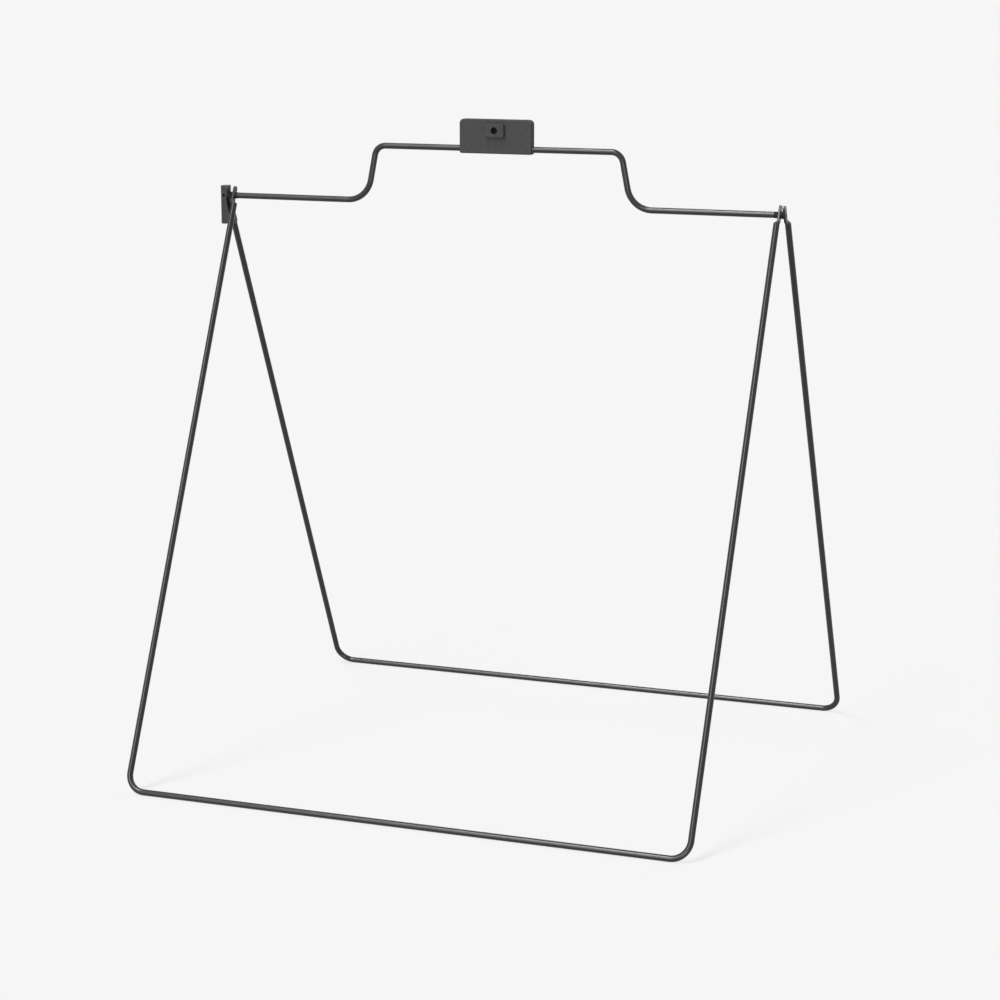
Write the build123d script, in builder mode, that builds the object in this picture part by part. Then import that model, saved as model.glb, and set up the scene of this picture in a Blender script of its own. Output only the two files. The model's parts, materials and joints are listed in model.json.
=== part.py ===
from build123d import *
from math import asin, cos, degrees, hypot, radians, sin, sqrt, tan
import os

# Folding A-frame stand of bent round bar, with a carrying hump and a clamp block on it.
# Millimetres. X runs across the stand, the front is -Y and +Z is up.
# The origin is on the floor, under the middle of the hinge axis.

# Bar stock and leg frames
bar_d = 5.2  # 5 mm wire over its powder coat
front_width = 490.0  # between the centrelines of the front legs
leg_length = 527.5  # hinge axis to the centreline of the foot bar
lean = 25.1  # degrees of each frame from upright when the stand is open
corner_radius = 15.5  # centreline bend at the feet
leg_gap = 2.7  # clear space between a front leg and the rear leg beside it

# Pressed tabs at the upper ends of the legs
tab_t = 2.0
tab_w = 5.2
tab_over = 8.3  # rounded tip above the hinge axis
tab_drop = 5.4  # flat part below the hinge axis
shoulder = 2.2  # length over which the round bar flattens
tab_edge = 0.4  # rounding left by the press along the tab

# Top bar with its carrying hump
hump_rise = 47.0
hump_offset = 0.5  # middle of the hump from the middle of the stand, towards +X
hump_width = 220.4  # between the upper corner points of the hump
riser_turn = 79.0  # degrees turned at each of the four bends
lower_bend = 21.8
upper_bend = 10.0
pin_depth = 15.0  # bore in each end of the bar

# Hinge pins, collars and spacers
pin_d = 2.5
pin_head_d = 3.8
pin_head_h = 0.9
collar_d = 5.4
collar_l = 3.2
spacer_d = 6.2
nylon_edge = 0.3  # chamfer round the collars and spacers

# Keeper on the left pin
keeper_x = 5.4
keeper_y = 9.6
keeper_set = 1.2  # middle of the block behind the pin
keeper_rise = 8.6  # top above the hinge axis
keeper_drop = 24.9  # bottom below the hinge axis
keeper_wall = 1.0  # closed end outside the pin bore
keeper_edge = 0.6
grub_d = 2.5
grub_recess = 0.3
grub_socket = 1.3  # across flats
grub_socket_depth = 1.2

# Clamp block on the middle of the hump
clamp_x = 64.8
clamp_y = 8.0
clamp_top = 24.7  # above the axis of the bar
clamp_wall = 1.5  # below the bar
clamp_split = 0.4  # gap between the two shells
clamp_top_radius = 3.8
clamp_low_radius = 1.5
clamp_edge = 1.1
boss_x = 17.0
boss_z = 11.2
boss_h = 3.0
boss_radius = 1.0
boss_edge = 0.5

# Clamp screw and nut
screw_d = 3.0
screw_up = 15.5  # above the axis of the bar
head_d = 5.5
head_h = 2.0
head_land = 1.1  # material between the head's seat and the middle plane
head_socket = 2.0  # across flats
head_socket_depth = 1.2
nut_flats = 5.5
nut_h = 2.3
nut_recess = 0.1

# Clearances
running = 0.05  # radial, pin in a turning tab
seated = 0.02  # radial, fixed pieces
play = 0.05  # axial, at each face that turns
screw_slack = 0.1  # radial, screw in its holes
head_slack = 0.25  # radial, head in its recess
swing = 0.6  # leg shoulder past the keeper's corner
fold_gap = 0.3  # between the foot bars when folded

# Places that follow from the sizes above
tilt = radians(lean)
hinge_z = leg_length * cos(tilt) + bar_d / 2
hump_z = hinge_z + hump_rise
rear_width = front_width + 2 * (bar_d + leg_gap)
tab_inset = (bar_d - tab_t) / 2
front_tab_x = front_width / 2 + tab_inset
rear_tab_x = rear_width / 2 - tab_inset
front_tab_in = front_tab_x - tab_t / 2
front_tab_out = front_tab_x + tab_t / 2
rear_tab_in = rear_tab_x - tab_t / 2
rear_tab_out = rear_tab_x + tab_t / 2
bar_end = front_tab_in - play - collar_l
keeper_in = rear_tab_out + play
keeper_out = keeper_in + keeper_x
keeper_front = keeper_y / 2 - keeper_set
keeper_back = keeper_y / 2 + keeper_set
long_drop = hypot(keeper_drop, keeper_back) + swing
shell_y = (clamp_y - clamp_split) / 2
screw_z = hump_z + screw_up
groove_r = bar_d / 2 + seated

os.makedirs("parts", exist_ok=True)


def save(piece, name):
    piece.label = name
    export_step(piece, f"parts/{name}.step")


def frame_plane(angle):
    # Plane of a leg frame: local y points up the legs and the origin is on the hinge axis.
    return Plane(origin=(0, 0, hinge_z), x_dir=(1, 0, 0), z_dir=(0, -cos(angle), sin(angle)))


def leg_frame(angle, width, tab_x, left_drop, right_drop, sink):
    # One bar bent to a U, with a pressed and drilled tab at each upper end.
    face = frame_plane(angle)
    leg_x = width / 2
    left_top = -left_drop - shoulder
    right_top = -right_drop - shoulder
    with BuildPart() as frame:
        with BuildLine(face) as route:
            FilletPolyline(
                (-leg_x, left_top),
                (-leg_x, -leg_length),
                (leg_x, -leg_length),
                (leg_x, right_top),
                radius=corner_radius,
            )
        with BuildSketch(Plane(origin=route.line @ 0, z_dir=route.line % 0)):
            Circle(bar_d / 2)
        sweep()
        for side, drop in ((-1, left_drop), (1, right_drop)):
            round_end = face.from_local_coords((side * leg_x, -drop - shoulder, 0))
            flat_end = face.from_local_coords((side * tab_x, -drop, 0))
            middle = face.from_local_coords((side * tab_x, 0, 0))
            with BuildSketch(Plane(origin=round_end, x_dir=face.x_dir, z_dir=face.y_dir)):
                Circle(bar_d / 2)
            with BuildSketch(Plane(origin=flat_end, x_dir=face.x_dir, z_dir=face.y_dir)):
                RectangleRounded(tab_t, tab_w, tab_edge)
            loft()
            with BuildSketch(Plane(origin=middle, x_dir=-face.z_dir, z_dir=face.x_dir)):
                with Locations((0, (tab_over - tab_w / 2 - drop) / 2)):
                    Rectangle(tab_w, tab_over - tab_w / 2 + drop)
                with Locations((0, tab_over - tab_w / 2)):
                    Circle(tab_w / 2)
            extrude(amount=tab_t / 2, both=True)
            with BuildSketch(Plane(origin=middle, x_dir=-face.z_dir, z_dir=face.x_dir)):
                Circle(pin_d / 2 + running)
            extrude(amount=bar_d, both=True, mode=Mode.SUBTRACT)
        if sink:
            with BuildSketch(Plane.XZ):
                with BuildLine():
                    Polyline(
                        (rear_tab_out - pin_head_h, hinge_z),
                        (rear_tab_out - pin_head_h, hinge_z + pin_d / 2 + running),
                        (rear_tab_out, hinge_z + pin_head_d / 2 + running),
                        (rear_tab_out + play, hinge_z + pin_head_d / 2 + running),
                        (rear_tab_out + play, hinge_z),
                        close=True,
                    )
                make_face()
            revolve(axis=Axis((0, 0, hinge_z), (1, 0, 0)), mode=Mode.SUBTRACT)
    return frame.part


# Leg frames: each tab is flush with the side of its leg that faces the other frame.
# The rear frame's left tab is long, so that the round leg swings clear of the keeper.
save(leg_frame(tilt, front_width, front_tab_x, tab_drop, tab_drop, False), "front_leg_frame")
save(leg_frame(-tilt, rear_width, rear_tab_x, long_drop, tab_drop, True), "rear_leg_frame")

# Top bar
upper_x = hump_width / 2
lower_x = upper_x + hump_rise / tan(radians(riser_turn))
with BuildPart() as top_bar:
    with BuildLine(Plane.XZ) as handle:
        FilletPolyline(
            (-bar_end, hinge_z),
            (hump_offset - lower_x, hinge_z),
            (hump_offset - upper_x, hump_z),
            (hump_offset + upper_x, hump_z),
            (hump_offset + lower_x, hinge_z),
            (bar_end, hinge_z),
            radius=(lower_bend, upper_bend, upper_bend, lower_bend),
        )
    with BuildSketch(Plane(origin=handle.line @ 0, z_dir=handle.line % 0)):
        Circle(bar_d / 2)
    sweep()
    for side in (-1, 1):
        with BuildSketch(Plane.YZ.offset(side * bar_end)):
            with Locations((0, hinge_z)):
                Circle(pin_d / 2 + seated)
        extrude(amount=-side * pin_depth, mode=Mode.SUBTRACT)
save(top_bar.part, "top_bar")

# Hinge pins: both start inside the bar; the left one ends in the keeper, the right one in a flush head.
pin_start = bar_end - pin_depth + play
left_pin_end = keeper_out - keeper_wall - play
with BuildPart() as left_hinge_pin:
    with BuildSketch(Plane.YZ.offset(-left_pin_end)):
        with Locations((0, hinge_z)):
            Circle(pin_d / 2)
    extrude(amount=left_pin_end - pin_start)
save(left_hinge_pin.part, "left_hinge_pin")

with BuildPart() as right_hinge_pin:
    with BuildSketch(Plane.XZ):
        with BuildLine():
            Polyline(
                (pin_start, hinge_z),
                (pin_start, hinge_z + pin_d / 2),
                (rear_tab_out - pin_head_h, hinge_z + pin_d / 2),
                (rear_tab_out, hinge_z + pin_head_d / 2),
                (rear_tab_out, hinge_z),
                close=True,
            )
        make_face()
    revolve(axis=Axis((0, 0, hinge_z), (1, 0, 0)))
save(right_hinge_pin.part, "right_hinge_pin")

# Nylon collars beside the bar ends, and spacers between the front and rear tabs
for side, word in ((-1, "left"), (1, "right")):
    with BuildPart() as collar:
        with BuildSketch(Plane.YZ.offset(side * bar_end)):
            with Locations((0, hinge_z)):
                Circle(collar_d / 2)
                Circle(pin_d / 2 + seated, mode=Mode.SUBTRACT)
        extrude(amount=side * collar_l)
        chamfer(collar.edges().filter_by(GeomType.CIRCLE).sort_by(SortBy.RADIUS)[-2:], nylon_edge)
    save(collar.part, f"{word}_inner_collar")
    with BuildPart() as spacer:
        with BuildSketch(Plane.YZ.offset(side * (front_tab_out + play))):
            with Locations((0, hinge_z)):
                Circle(spacer_d / 2)
                Circle(pin_d / 2 + seated, mode=Mode.SUBTRACT)
        extrude(amount=side * (rear_tab_in - front_tab_out - 2 * play))
        chamfer(spacer.edges().filter_by(GeomType.CIRCLE).sort_by(SortBy.RADIUS)[-2:], nylon_edge)
    save(spacer.part, f"{word}_outer_spacer")

# Keeper: an upright block on the left pin, bored blind and drilled from the front for its grub screw
keeper_height = keeper_rise + keeper_drop
keeper_mid = -(keeper_in + keeper_out) / 2
with BuildPart() as end_keeper:
    with BuildSketch(Plane.XY.offset(hinge_z - keeper_drop)):
        with Locations((keeper_mid, keeper_set)):
            Rectangle(keeper_x, keeper_y)
    extrude(amount=keeper_height)
    fillet(end_keeper.edges(), keeper_edge)
    with BuildSketch(Plane.YZ.offset(-keeper_in)):
        with Locations((0, hinge_z)):
            Circle(pin_d / 2 + seated)
    extrude(amount=keeper_wall - keeper_x, mode=Mode.SUBTRACT)
    with BuildSketch(Plane.XZ):
        with Locations((keeper_mid, hinge_z)):
            Circle(grub_d / 2)
    extrude(amount=keeper_y, mode=Mode.SUBTRACT)
save(end_keeper.part, "end_keeper")

with BuildPart() as keeper_grub_screw:
    with BuildSketch(Plane.XZ.offset(pin_d / 2 + seated)):
        with Locations((keeper_mid, hinge_z)):
            Circle(grub_d / 2 - seated)
    extrude(amount=keeper_front - grub_recess - pin_d / 2 - seated)
    with BuildSketch(Plane.XZ.offset(keeper_front - grub_recess)):
        with Locations((keeper_mid, hinge_z)):
            RegularPolygon(grub_socket / sqrt(3), 6)
    extrude(amount=-grub_socket_depth, mode=Mode.SUBTRACT)
save(keeper_grub_screw.part, "keeper_grub_screw")


def clamp_shell(side):
    # Half of the clamp block: side is -1 at the front and 1 at the rear.
    low = hump_z - groove_r - clamp_wall
    high = hump_z + clamp_top
    parting = Plane.XZ.offset(-side * clamp_split / 2)
    with BuildPart() as shell:
        with BuildSketch(parting) as outline:
            with Locations((hump_offset, (low + high) / 2)):
                Rectangle(clamp_x, high - low)
            fillet(outline.vertices().group_by(Axis.Y)[-1], clamp_top_radius)
            fillet(outline.vertices().group_by(Axis.Y)[0], clamp_low_radius)
        extrude(amount=-side * shell_y)
        outer_face = shell.faces().sort_by(Axis.Y)[-1 if side > 0 else 0]
        fillet(outer_face.edges(), clamp_edge)
        with BuildSketch(Plane.YZ.offset(hump_offset)):
            with Locations((0, hump_z)):
                Circle(groove_r)
        extrude(amount=clamp_x, both=True, mode=Mode.SUBTRACT)
    return shell.part


# Front shell with the raised boss that sinks the screw head
with BuildPart() as clamp_front_shell:
    add(clamp_shell(-1))
    with BuildSketch(Plane.XZ.offset(clamp_y / 2)):
        with Locations((hump_offset, screw_z)):
            RectangleRounded(boss_x, boss_z, boss_radius)
    extrude(amount=boss_h)
    fillet(clamp_front_shell.faces().sort_by(Axis.Y)[0].edges(), boss_edge)
    with BuildSketch(Plane.XZ.offset(head_land)):
        with Locations((hump_offset, screw_z)):
            Circle(head_d / 2 + head_slack)
    extrude(amount=clamp_y + boss_h, mode=Mode.SUBTRACT)
    with BuildSketch(Plane.XZ):
        with Locations((hump_offset, screw_z)):
            Circle(screw_d / 2 + screw_slack)
    extrude(amount=clamp_y, mode=Mode.SUBTRACT)
save(clamp_front_shell.part, "clamp_front_shell")

# Rear shell with the pocket that holds the nut
with BuildPart() as clamp_rear_shell:
    add(clamp_shell(1))
    with BuildSketch(Plane.XZ.offset(-clamp_y / 2)):
        with Locations((hump_offset, screw_z)):
            RegularPolygon(nut_flats / sqrt(3) + screw_slack, 6)
    extrude(amount=nut_h + nut_recess, mode=Mode.SUBTRACT)
    with BuildSketch(Plane.XZ):
        with Locations((hump_offset, screw_z)):
            Circle(screw_d / 2 + screw_slack)
    extrude(amount=-clamp_y, mode=Mode.SUBTRACT)
save(clamp_rear_shell.part, "clamp_rear_shell")

# Socket head screw and its nut
nut_seat = clamp_y / 2 - nut_recess - nut_h
with BuildPart() as clamp_screw:
    with BuildSketch(Plane.XZ.offset(head_land)):
        with Locations((hump_offset, screw_z)):
            Circle(head_d / 2)
    extrude(amount=head_h)
    with BuildSketch(Plane.XZ.offset(head_land)):
        with Locations((hump_offset, screw_z)):
            Circle(screw_d / 2 - seated)
    extrude(amount=-(head_land + nut_seat + nut_h))
    with BuildSketch(Plane.XZ.offset(head_land + head_h)):
        with Locations((hump_offset, screw_z)):
            RegularPolygon(head_socket / sqrt(3), 6)
    extrude(amount=-head_socket_depth, mode=Mode.SUBTRACT)
save(clamp_screw.part, "clamp_screw")

with BuildPart() as clamp_nut:
    with BuildSketch(Plane.XZ.offset(-nut_seat)):
        with Locations((hump_offset, screw_z)):
            RegularPolygon(nut_flats / sqrt(3), 6)
            Circle(screw_d / 2, mode=Mode.SUBTRACT)
    extrude(amount=-nut_h)
save(clamp_nut.part, "clamp_nut")

# Fold of each frame, from open until the foot bars lie side by side
fold = lean - degrees(asin((bar_d + fold_gap) / (2 * leg_length)))
print(f"hinge axis at z {hinge_z:.3f} mm, each frame folds by {fold:.2f} degrees")
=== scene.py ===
import json
from math import atan2, cos, hypot, pi, radians, sin, sqrt, tau

import bmesh
import bpy
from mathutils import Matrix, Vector


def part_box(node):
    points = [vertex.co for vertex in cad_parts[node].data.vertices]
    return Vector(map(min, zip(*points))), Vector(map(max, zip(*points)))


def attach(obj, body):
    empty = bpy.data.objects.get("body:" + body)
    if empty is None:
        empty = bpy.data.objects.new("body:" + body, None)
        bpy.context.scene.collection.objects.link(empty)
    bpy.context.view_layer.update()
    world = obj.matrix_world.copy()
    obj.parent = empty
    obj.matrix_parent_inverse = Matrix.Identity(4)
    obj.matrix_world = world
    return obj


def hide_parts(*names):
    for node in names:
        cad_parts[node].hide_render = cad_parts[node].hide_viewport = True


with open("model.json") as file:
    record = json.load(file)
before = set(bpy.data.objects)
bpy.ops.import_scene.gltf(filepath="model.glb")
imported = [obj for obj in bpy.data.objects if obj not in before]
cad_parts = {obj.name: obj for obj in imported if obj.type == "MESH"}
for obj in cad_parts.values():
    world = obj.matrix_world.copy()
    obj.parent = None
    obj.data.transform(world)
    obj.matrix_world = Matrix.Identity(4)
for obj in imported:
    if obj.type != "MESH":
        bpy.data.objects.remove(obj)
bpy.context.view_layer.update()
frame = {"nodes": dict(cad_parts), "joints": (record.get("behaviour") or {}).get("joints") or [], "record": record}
scene = bpy.context.scene
mm = 0.001
hinge = Vector(frame["joints"][0]["pos_m"])  # a point on the hinge axis, which runs along X
print("frame loaded with", len(frame["nodes"]), "nodes")


class Wire:
    # One output of a node. Arithmetic on it adds Math nodes.
    def __init__(self, board, socket):
        self.board = board
        self.socket = socket

    def maths(self, operation, first, second):
        return self.board.add("ShaderNodeMath", {"operation": operation}, {0: first, 1: second})

    def __add__(self, other):
        return self.maths("ADD", self, other)

    def __sub__(self, other):
        return self.maths("SUBTRACT", self, other)

    def __rsub__(self, other):
        return self.maths("SUBTRACT", other, self)

    def __mul__(self, other):
        return self.maths("MULTIPLY", self, other)

    __radd__ = __add__
    __rmul__ = __mul__


class Board:
    # One node tree, and the way to put nodes on it.
    def __init__(self, tree):
        self.tree = tree
        tree.nodes.clear()

    def add(self, kind, settings=None, sockets=None, output=0):
        node = self.tree.nodes.new(kind)
        for name, value in (settings or {}).items():
            setattr(node, name, value)
        for name, value in (sockets or {}).items():
            if isinstance(value, Wire):
                self.tree.links.new(value.socket, node.inputs[name])
            else:
                node.inputs[name].default_value = value
        return Wire(self, node.outputs[output]) if node.outputs else None

    def noise(self, place, sockets):
        return self.add("ShaderNodeTexNoise", {}, {"Vector": place} | sockets)

    def blend(self, amount, first, second):
        # colour mix: first where amount is 0, second where it is 1
        sockets = {0: amount, 6: first, 7: second}
        return self.add("ShaderNodeMix", {"data_type": "RGBA"}, sockets, output=2)


def newFinish(name):
    material = bpy.data.materials.new(name)
    material.use_nodes = True
    return material, Board(material.node_tree)


def grey(value, warmth=0.0):
    return (value * (1 + warmth), value, value * (1 - warmth), 1.0)


noiseMiddle = 0.5  # a noise goes up and down about this value


def finishSurface(board, settings, tone, roughNoises, height):
    # The ending that all finishes share. The tone runs from 0, dark, to 1, light.
    rough = settings["roughness"]
    for noise in roughNoises:
        rough = rough + (noise - noiseMiddle) * settings["roughnessSwing"]
    sockets = {
        "Base Color": board.blend(tone, settings["dark"], settings["light"]),
        "Roughness": rough,
        "Normal": board.add("ShaderNodeBump", {}, {"Height": height} | settings["bump"]),
    }
    shader = board.add("ShaderNodeBsdfPrincipled", {}, sockets | settings["gloss"])
    board.add("ShaderNodeOutputMaterial", {}, {"Surface": shader})


# Satin powder coat on the bars and the keeper
coat = {
    "dark": grey(0.009, -0.01),
    "light": grey(0.015, -0.01),
    "drift": {"Scale": 16.0, "Detail": 2.0},  # slow change of tone along a bar
    "grain": {"Scale": 1600.0, "Detail": 3.0},  # grain of the powder
    "peel": {"Scale": 700.0, "Detail": 1.0},  # orange peel left by the flow of the coat
    "driftShare": 0.6,  # part of the drift in the tone, where the grain has the rest
    "grainLift": 0.3,  # height of the grain against that of the peel
    "roughness": 0.25,
    "roughnessSwing": 0.08,
    "bump": {"Strength": 0.6, "Distance": 0.02 * mm},
    "gloss": {"Specular IOR Level": 0.33},
}


def powderCoat():
    material, board = newFinish("charcoalCoat")
    place = board.add("ShaderNodeTexCoord", output="Object")
    drift = board.noise(place, coat["drift"])
    grain = board.noise(place, coat["grain"])
    peel = board.noise(place, coat["peel"])
    tone = drift * coat["driftShare"] + grain * (1 - coat["driftShare"])
    finishSurface(board, coat, tone, (grain, drift), peel + grain * coat["grainLift"])
    return material


# Fine-grained moulded plastic of the clamp block
plastic = {
    "dark": grey(0.0285, -0.01),
    "light": grey(0.057, -0.01),
    "cloud": {"Scale": 260.0, "Detail": 3.0},
    "grain": {"Scale": 1100.0},
    "cloudShare": 0.7,  # part of the cloud in the tone, where the grain has the rest
    "roughness": 0.50,
    "roughnessSwing": 0.12,
    "bump": {"Strength": 0.5, "Distance": 0.03 * mm},
    "gloss": {"Specular IOR Level": 0.06},
}


def mouldedPlastic():
    material, board = newFinish("mouldedCharcoal")
    place = board.add("ShaderNodeTexCoord", output="Object")
    cloud = board.noise(place, plastic["cloud"])
    grain = board.add("ShaderNodeTexVoronoi", {}, {"Vector": place} | plastic["grain"])
    tone = cloud * plastic["cloudShare"] + grain * (1 - plastic["cloudShare"])
    finishSurface(board, plastic, tone, (cloud,), grain)
    return material


# Smooth black nylon of the collars and spacers
nylon = {
    "dark": grey(0.006),
    "light": grey(0.012),
    "cloud": {"Scale": 260.0, "Detail": 4.0},
    "roughness": 0.60,
    "roughnessSwing": 0.14,
    "bump": {"Strength": 0.4, "Distance": 0.01 * mm},
    "gloss": {"Specular IOR Level": 0.12},
}


def blackNylon():
    material, board = newFinish("blackNylon")
    place = board.add("ShaderNodeTexCoord", output="Object")
    cloud = board.noise(place, nylon["cloud"])
    finishSurface(board, nylon, cloud, (cloud,), cloud)
    return material


# Blackened steel of the pins, screws and nut, its colour made darker still so that the screw head deep in the
# boss's hole shows as the hole's painted shade
steel = {
    # painted shade: these near-black tones stand in for the shade in the boss's hole, where the screw head sits
    "dark": grey(0.003),
    "light": grey(0.009),
    "turning": {"Scale": (900.0, 60.0, 60.0)},  # turning marks run round the X axis of the pins
    "marks": {"Scale": 4.0, "Detail": 2.0},
    "cloud": {"Scale": 400.0, "Detail": 3.0},
    "roughness": 0.42,
    "roughnessSwing": 0.16,
    "bump": {"Strength": 0.5, "Distance": 0.006 * mm},
    "gloss": {"Metallic": 0.85},
}


def blackSteelAndHoleShade():
    material, board = newFinish("blackSteelAndHoleShade")
    place = board.add("ShaderNodeTexCoord", output="Object")
    along = board.add("ShaderNodeMapping", {}, {"Vector": place} | steel["turning"])
    marks = board.noise(along, steel["marks"])
    cloud = board.noise(place, steel["cloud"])
    finishSurface(board, steel, cloud, (cloud,), marks)
    return material


finishes = {
    "charcoal_coat": powderCoat(),
    "clamp_shell": mouldedPlastic(),
    "black_nylon": blackNylon(),
    "black_steel": blackSteelAndHoleShade(),
}
slotOfNode = {row["node"]: row["material_slot"] for row in frame["record"]["subparts"]}
bodyOfNode = {
    node: body for body, nodes in frame["record"]["behaviour"]["bodies"].items() for node in nodes
}
print("finishes made:", ", ".join(finishes))


def addObject(name, data):
    piece = bpy.data.objects.new(name, data)
    scene.collection.objects.link(piece)
    return piece


def settle(piece):
    # Turns what the modifiers give into the piece's own plain mesh.
    bpy.context.view_layer.update()
    graph = bpy.context.evaluated_depsgraph_get()
    made = bpy.data.meshes.new_from_object(piece.evaluated_get(graph), depsgraph=graph)
    made.name = piece.name
    piece.modifiers.clear()
    piece.data = made


def smoothFaces(piece, sharpAngle):
    # Smooth shading that keeps flat faces flat and edges crisp.
    piece.data.shade_smooth()
    piece.data.set_sharp_from_angle(angle=radians(sharpAngle))
    normals = piece.modifiers.new("flatFaces", "WEIGHTED_NORMAL")
    normals.keep_sharp = True
    settle(piece)


def standFor(piece, node):
    # The piece takes the node's place, body and finish.
    slot = slotOfNode[node]
    piece.data.materials.clear()
    piece.data.materials.append(finishes[slot])
    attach(piece, bodyOfNode[node])
    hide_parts(node)


def bentBarTree():
    # Geometry Nodes: a polyline with a bend radius at each corner becomes a round bar.
    tree = bpy.data.node_groups.new("bentBar", "GeometryNodeTree")
    inputs = (
        ("Route", "NodeSocketGeometry"),
        ("Bar Radius", "NodeSocketFloat"),
        ("Bend Steps", "NodeSocketInt"),
        ("Ring Points", "NodeSocketInt"),
        ("Ring Turn", "NodeSocketRotation"),
        ("Closed Ends", "NodeSocketBool"),
        ("Finish", "NodeSocketMaterial"),
    )
    for name, kind in inputs:
        tree.interface.new_socket(name, in_out="INPUT", socket_type=kind)
    tree.interface.new_socket("Bar", in_out="OUTPUT", socket_type="NodeSocketGeometry")
    board = Board(tree)

    def given(name):
        return board.add("NodeGroupInput", output=name)

    route = board.add("GeometryNodeMeshToCurve", {}, {"Mesh": given("Route")})
    bend = board.add("GeometryNodeInputNamedAttribute", {"data_type": "FLOAT"}, {"Name": "bendRadius"})
    curved = board.add(
        "GeometryNodeFilletCurve",
        {"mode": "POLY"},
        {"Curve": route, "Count": given("Bend Steps"), "Radius": bend},
    )
    upright = board.add("GeometryNodeSetCurveNormal", {"mode": "Z_UP"}, {"Curve": curved})
    ring = board.add(
        "GeometryNodeCurvePrimitiveCircle",
        {"mode": "RADIUS"},
        {"Resolution": given("Ring Points"), "Radius": given("Bar Radius")},
    )
    turned = board.add("GeometryNodeTransform", {}, {"Geometry": ring, "Rotation": given("Ring Turn")})
    swept = board.add(
        "GeometryNodeCurveToMesh",
        {},
        {"Curve": upright, "Profile Curve": turned, "Fill Caps": given("Closed Ends")},
    )
    smooth = board.add("GeometryNodeSetShadeSmooth", {}, {"Geometry": swept})
    real = board.add("GeometryNodeRealizeInstances", {}, {"Geometry": smooth})
    painted = board.add("GeometryNodeSetMaterial", {}, {"Geometry": real, "Material": given("Finish")})
    board.add("NodeGroupOutput", {}, {"Bar": painted})
    return tree


# The round bar that the top bar and both leg frames are bent from
bar = {
    "radius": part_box("top_bar")[1].y,
    "ringPoints": 32,  # a multiple of four, so that a quarter goes to each corner of a tab
    "bendSteps": 18,
    "boreSteps": 48,  # sides of a drilled hole
    "sharpAngle": 35.0,  # degrees, past which an edge stays crisp
}
barTree = bentBarTree()


def sweepBar(name, corners, bends, closedEnds):
    # corners are the points of the route and bends the bend radius at each of them
    mesh = bpy.data.meshes.new(name)
    mesh.from_pydata(corners, [(i, i + 1) for i in range(len(corners) - 1)], [])
    mesh.attributes.new("bendRadius", "FLOAT", "POINT").data.foreach_set("value", bends)
    piece = addObject(name, mesh)
    modifier = piece.modifiers.new("bentBar", "NODES")
    modifier.node_group = barTree
    values = {
        "Bar Radius": bar["radius"],
        "Bend Steps": bar["bendSteps"],
        "Ring Points": bar["ringPoints"],
        "Ring Turn": (0.0, 0.0, pi / bar["ringPoints"]),
        "Closed Ends": closedEnds,
        "Finish": finishes["charcoal_coat"],
    }
    for item in barTree.interface.items_tree:
        if item.in_out == "INPUT" and item.name in values:
            modifier[item.identifier] = values[item.name]
    settle(piece)
    return piece


def turnedCutter(name, profile, side):
    # A solid of revolution round the hinge axis: profile is a list of distances along X and radii.
    steps = bar["boreSteps"]
    tool = bmesh.new()
    rings = []
    for reach, radius in profile:
        ring = []
        for step in range(steps):
            angle = tau * step / steps
            place = Vector((side * reach, radius * cos(angle), radius * sin(angle)))
            ring.append(tool.verts.new(hinge + place))
        rings.append(ring)
    for lower, upper in zip(rings, rings[1:]):
        for step in range(steps):
            after = (step + 1) % steps
            tool.faces.new((lower[step], lower[after], upper[after], upper[step]))
    tool.faces.new(rings[0])
    tool.faces.new(rings[-1])
    bmesh.ops.recalc_face_normals(tool, faces=tool.faces[:])
    mesh = bpy.data.meshes.new(name)
    tool.to_mesh(mesh)
    tool.free()
    return addObject(name, mesh)


def cutAway(piece, cutter):
    cut = piece.modifiers.new("bore", "BOOLEAN")
    cut.operation = "DIFFERENCE"
    cut.solver = "EXACT"
    cut.object = cutter
    settle(piece)
    bpy.data.objects.remove(cutter)


# Top bar: straight ends on the hinge axis and a carrying hump in the middle
topBarSizes = {
    "humpRise": 47.0 * mm,
    "humpMiddle": 0.5 * mm,
    "humpHalf": 110.2 * mm,  # middle of the hump to an upper corner point
    "riserTurn": 79.0,  # degrees
    "lowerBend": 21.8 * mm,
    "upperBend": 10.0 * mm,
    "boreRadius": 1.27 * mm,
    "boreDepth": 15.0 * mm,
    "borePast": 1.0 * mm,  # cutter past the end of the bar
}


def makeTopBar():
    size = topBarSizes
    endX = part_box("top_bar")[1].x
    turn = radians(size["riserTurn"])
    lowX = size["humpHalf"] + size["humpRise"] * cos(turn) / sin(turn)
    low, high = hinge.z, hinge.z + size["humpRise"]
    middle = size["humpMiddle"]
    route = [
        (-endX, 0, low),
        (middle - lowX, 0, low),
        (middle - size["humpHalf"], 0, high),
        (middle + size["humpHalf"], 0, high),
        (middle + lowX, 0, low),
        (endX, 0, low),
    ]
    bends = [0, size["lowerBend"], size["upperBend"]]
    piece = sweepBar("topBar", route, bends + bends[::-1], True)
    bore = [(endX - size["boreDepth"], size["boreRadius"]), (endX + size["borePast"], size["boreRadius"])]
    for side in (-1, 1):
        cutAway(piece, turnedCutter("endBore", bore, side))
    smoothFaces(piece, bar["sharpAngle"])
    standFor(piece, "top_bar")


makeTopBar()
print("top bar swept")


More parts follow.
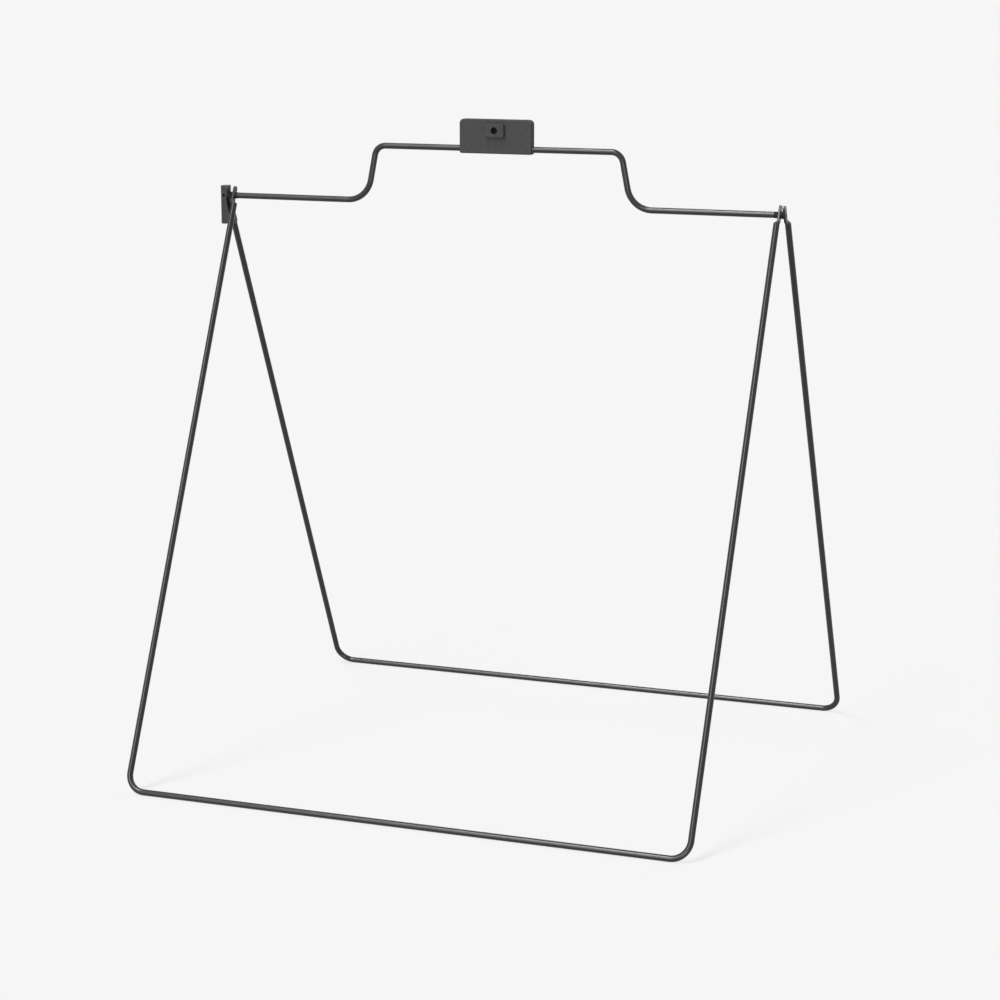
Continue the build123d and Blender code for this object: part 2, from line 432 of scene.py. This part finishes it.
# Leg frames: one bar bent to a U, with a pressed and drilled tab at each upper end
tab = {
    "thickness": 2.0 * mm,
    "width": 5.2 * mm,
    "over": 8.3 * mm,  # tip above the hinge axis
    "drop": 5.4 * mm,  # flat part below the hinge axis
    "swing": 0.6 * mm,  # round leg past the keeper's lower corner
    "shoulder": 2.2 * mm,  # length over which the round bar flattens
    "edge": 0.4 * mm,
    "boreRadius": 1.30 * mm,
    "shoulderSteps": 8,
    "tipSteps": 12,
    "tipTurn": 86.0,  # degrees of the round tip, short of 90 so that its last ring keeps a width
}
keeperLow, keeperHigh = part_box("end_keeper")
legShape = {"lean": 25.1, "cornerBend": 15.5 * mm}  # lean in degrees
legFrames = {
    "frontLegFrame": {
        "node": "front_leg_frame",
        "lean": radians(legShape["lean"]),
        "tabSide": 1,  # the tab is flush with the outer side of its leg
        "leftDrop": tab["drop"],
        "rightDrop": tab["drop"],
        "sink": None,
    },
    "rearLegFrame": {
        "node": "rear_leg_frame",
        "lean": radians(-legShape["lean"]),
        "tabSide": -1,  # the tab is flush with the inner side of its leg
        "leftDrop": hypot(hinge.z - keeperLow.z, keeperHigh.y) + tab["swing"],
        "rightDrop": tab["drop"],
        "sink": {"radius": 1.95 * mm, "depth": 0.9 * mm, "past": 0.1 * mm},  # seat of the pin's flush head
    },
}
for size in legFrames.values():
    size["legX"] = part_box(size["node"])[1].x - bar["radius"]
    size["tabX"] = size["legX"] + size["tabSide"] * (bar["radius"] - tab["thickness"] / 2)
    size["length"] = (hinge.z - bar["radius"]) / cos(size["lean"])


def tabSection(index, halfThick, halfWide):
    # Point of a rounded rectangle, with a quarter of the ring's points round each corner.
    quarter = bar["ringPoints"] // 4
    edge = min(tab["edge"], halfThick, halfWide)
    corner, step = divmod(index, quarter)
    angle = (corner + step / (quarter - 1)) * pi / 2
    acrossSign = 1 if corner in (0, 3) else -1
    wideSign = 1 if corner in (0, 1) else -1
    across = acrossSign * (halfThick - edge) + edge * cos(angle)
    return across, wideSign * (halfWide - edge) + edge * sin(angle)


def tabStations(drop):
    # Along the leg from the round bar to the tip: place, share of pressing, half thickness, half width.
    halfThick, halfWide = tab["thickness"] / 2, tab["width"] / 2
    stations = []
    for step in range(1, tab["shoulderSteps"] + 1):
        share = step / tab["shoulderSteps"]
        place = -drop - tab["shoulder"] * (1 - share)
        eased = share * share * (3 - 2 * share)  # slow at both ends of the shoulder
        stations.append((place, eased, halfThick, halfWide))
    tipCentre = tab["over"] - halfWide
    for step in range(tab["tipSteps"] + 1):
        angle = radians(tab["tipTurn"]) * step / tab["tipSteps"]
        place = tipCentre + halfWide * sin(angle)
        short = max(0.0, place - (tab["over"] - tab["edge"]))
        thick = halfThick - tab["edge"] + sqrt(tab["edge"] ** 2 - short**2)
        stations.append((place, 1.0, thick, halfWide * cos(angle)))
    return stations


def pressTab(work, ring, side, size, up, wide):
    # Carries the open end of the bar on, ring by ring, to the tip of its tab.
    legX, tabX = side * size["legX"], side * size["tabX"]
    drop = size["leftDrop"] if side < 0 else size["rightDrop"]

    def turnOf(vert):
        away = vert.co - hinge
        return atan2(away.dot(wide), away.x - legX) % tau

    last = sorted(ring, key=turnOf)
    count = len(last)
    radius = bar["radius"]
    for place, pressed, halfThick, halfWide in tabStations(drop):
        fresh = []
        for index in range(count):
            angle = tau * (index + 0.5) / count  # the bar's own rings are turned by half a step
            flatX, flatWide = tabSection(index, halfThick, halfWide)
            x = legX + radius * cos(angle)
            x += pressed * (tabX + flatX - x)
            out = radius * sin(angle)
            out += pressed * (flatWide - out)
            fresh.append(work.verts.new(hinge + Vector((x, 0, 0)) + up * place + wide * out))
        for index in range(count):
            after = (index + 1) % count
            work.faces.new((last[index], last[after], fresh[after], fresh[index]))
        last = fresh
    work.faces.new(last)


def drillTabs(piece, size):
    inner, outer = size["tabX"] - tab["thickness"], size["tabX"] + tab["thickness"]
    bore = [(inner, tab["boreRadius"]), (outer, tab["boreRadius"])]
    for side in (-1, 1):
        cutAway(piece, turnedCutter("tabBore", bore, side))
    sink = size["sink"]
    if sink:
        face = size["tabX"] + tab["thickness"] / 2
        slope = (sink["radius"] - tab["boreRadius"]) / sink["depth"]
        seat = [
            (face - sink["depth"], tab["boreRadius"]),
            (face + sink["past"], sink["radius"] + slope * sink["past"]),
        ]
        cutAway(piece, turnedCutter("headSeat", seat, 1))


def makeLegFrame(name, size):
    up = Vector((0, sin(size["lean"]), cos(size["lean"])))
    wide = Vector((0, -cos(size["lean"]), sin(size["lean"])))
    route = []
    for side, drop in ((-1, size["leftDrop"]), (1, size["rightDrop"])):
        head = hinge + Vector((side * size["legX"], 0, 0))
        top = head - up * (drop + tab["shoulder"])
        foot = head - up * size["length"]
        route += [top, foot] if side < 0 else [foot, top]
    piece = sweepBar(name, route, [0, legShape["cornerBend"], legShape["cornerBend"], 0], False)
    work = bmesh.new()
    work.from_mesh(piece.data)
    openVerts = {vert for edge in work.edges if edge.is_boundary for vert in edge.verts}
    for side in (-1, 1):
        pressTab(work, [vert for vert in openVerts if vert.co.x * side > 0], side, size, up, wide)
    bmesh.ops.recalc_face_normals(work, faces=work.faces[:])
    work.to_mesh(piece.data)
    work.free()
    drillTabs(piece, size)
    smoothFaces(piece, bar["sharpAngle"])
    standFor(piece, size["node"])


for name, size in legFrames.items():
    makeLegFrame(name, size)
    print(name, "swept and its tabs pressed")


# Hinge, keeper and clamp pieces: the frame's own shapes, merged and shaded smooth
smallPieces = {
    "leftHingePin": "left_hinge_pin",
    "rightHingePin": "right_hinge_pin",
    "leftInnerCollar": "left_inner_collar",
    "rightInnerCollar": "right_inner_collar",
    "leftOuterSpacer": "left_outer_spacer",
    "rightOuterSpacer": "right_outer_spacer",
    "endKeeper": "end_keeper",
    "keeperGrubScrew": "keeper_grub_screw",
    "clampFrontShell": "clamp_front_shell",
    "clampRearShell": "clamp_rear_shell",
    "clampScrew": "clamp_screw",
    "clampNut": "clamp_nut",
}
refining = {
    "mergeDistance": 0.002 * mm,
    "flatAngle": 0.5,  # degrees, under which two faces are joined to one
    "sharpAngle": 28.0,  # degrees, past which an edge stays crisp
}


def refineNode(name, node):
    # Only the shape is carried over: corners merged, and the triangles of a flat face joined.
    work = bmesh.new()
    work.from_mesh(frame["nodes"][node].data)
    bmesh.ops.remove_doubles(work, verts=work.verts[:], dist=refining["mergeDistance"])
    flat = radians(refining["flatAngle"])
    bmesh.ops.dissolve_limit(work, angle_limit=flat, verts=work.verts[:], edges=work.edges[:])
    work.verts.index_update()
    corners = [vert.co[:] for vert in work.verts]
    faces = [[vert.index for vert in face.verts] for face in work.faces]
    work.free()
    mesh = bpy.data.meshes.new(name)
    mesh.from_pydata(corners, [], faces)
    piece = addObject(name, mesh)
    smoothFaces(piece, refining["sharpAngle"])
    standFor(piece, node)


for name, node in smallPieces.items():
    refineNode(name, node)
print(len(smallPieces), "hinge and clamp pieces refined")


# Studio: a pale floor that runs to the horizon and a pale surround
studio = {
    "paleGrey": grey(0.918),
    "floorReach": 60.0,
    "floorClear": 0.82,  # clear share of the floor, through which the feet show when they are folded
    "floorTone": grey(0.715),
    "dimFloor": grey(0.70),  # the floor as light that bounces up on the object
    "fill": 0.08,  # the surround as light on the object
}
# Three soft lights one above the other in front, two low ones for upright bars and faces, one behind.
# A light's spread is in degrees.
lamps = {
    "highLight": {"from": Vector((-0.24, -0.27, 0.93)), "power": 2.0, "spread": 12.0},
    "middleLight": {"from": Vector((-0.24, -0.57, 0.78)), "power": 1.1, "spread": 20.0},
    "lowLight": {"from": Vector((-0.24, -0.80, 0.54)), "power": 1.1, "spread": 20.0},
    "frontLight": {"from": Vector((-0.36, -0.92, 0.12)), "power": 0.5, "spread": 26.0},
    "cameraLight": {"from": Vector((0.38, -0.92, -0.08)), "power": 1.3, "spread": 22.0},
    "backLight": {"from": Vector((0.35, 0.75, 0.56)), "power": 0.9, "spread": 40.0},
}


def seenDirectly(board):
    # 1 for camera, mirror and glass rays, 0 for the light that bounces on the object
    kinds = ("Is Camera Ray", "Is Glossy Ray", "Is Transmission Ray")
    camera, mirror, glass = [board.add("ShaderNodeLightPath", output=kind) for kind in kinds]
    return camera + mirror + glass


def makeFloor():
    reach = studio["floorReach"]
    mesh = bpy.data.meshes.new("floor")
    corners = [(-reach, -reach, 0), (reach, -reach, 0), (reach, reach, 0), (-reach, reach, 0)]
    mesh.from_pydata(corners, [], [(0, 1, 2, 3)])
    floor = addObject("floor", mesh)
    material, board = newFinish("paleFloor")
    clear = board.add("ShaderNodeBsdfTransparent")
    lit = board.add("ShaderNodeBsdfDiffuse", {}, {"Color": studio["floorTone"]})
    pale = board.add("ShaderNodeMixShader", {}, {0: studio["floorClear"], 1: lit, 2: clear})
    dim = board.add("ShaderNodeBsdfDiffuse", {}, {"Color": studio["dimFloor"]})
    passing = seenDirectly(board) + board.add("ShaderNodeLightPath", output="Is Shadow Ray")
    shader = board.add("ShaderNodeMixShader", {}, {0: passing, 1: dim, 2: pale})
    board.add("ShaderNodeOutputMaterial", {}, {"Surface": shader})
    mesh.materials.append(material)


def lightStudio():
    world = bpy.data.worlds.new("studio")
    world.use_nodes = True
    scene.world = world
    board = Board(world.node_tree)
    fill = board.add("ShaderNodeBackground", {}, {"Color": grey(1.0), "Strength": studio["fill"]})
    surround = board.add("ShaderNodeBackground", {}, {"Color": studio["paleGrey"], "Strength": 1.0})
    shader = board.add("ShaderNodeMixShader", {}, {0: seenDirectly(board), 1: fill, 2: surround})
    board.add("ShaderNodeOutputWorld", {}, {"Surface": shader})
    for name, settings in lamps.items():
        lamp = bpy.data.lights.new(name, "SUN")
        lamp.energy = settings["power"]
        lamp.angle = radians(settings["spread"])
        light = addObject(name, lamp)
        light.rotation_euler = settings["from"].to_track_quat("Z", "Y").to_euler()


# Camera at the photograph's place
cameraPlace = {
    "place": (0.8045, -2.0883, 0.6920),
    "tilt": 78.225,  # degrees from looking straight down
    "turn": 20.988,  # degrees round the upright
    "lens": 95.19,  # focal length in millimetres, on a square picture
    "sensor": 36.0,  # width of that picture
}


def setCamera():
    lens = bpy.data.cameras.new("photoCamera")
    lens.lens = cameraPlace["lens"]
    lens.sensor_width = cameraPlace["sensor"]
    camera = addObject("photoCamera", lens)
    camera.location = cameraPlace["place"]
    camera.rotation_euler = (radians(cameraPlace["tilt"]), 0.0, radians(cameraPlace["turn"]))
    scene.camera = camera


makeFloor()
lightStudio()
setCamera()
scene.view_settings.view_transform = "Standard"
print("studio and camera set")
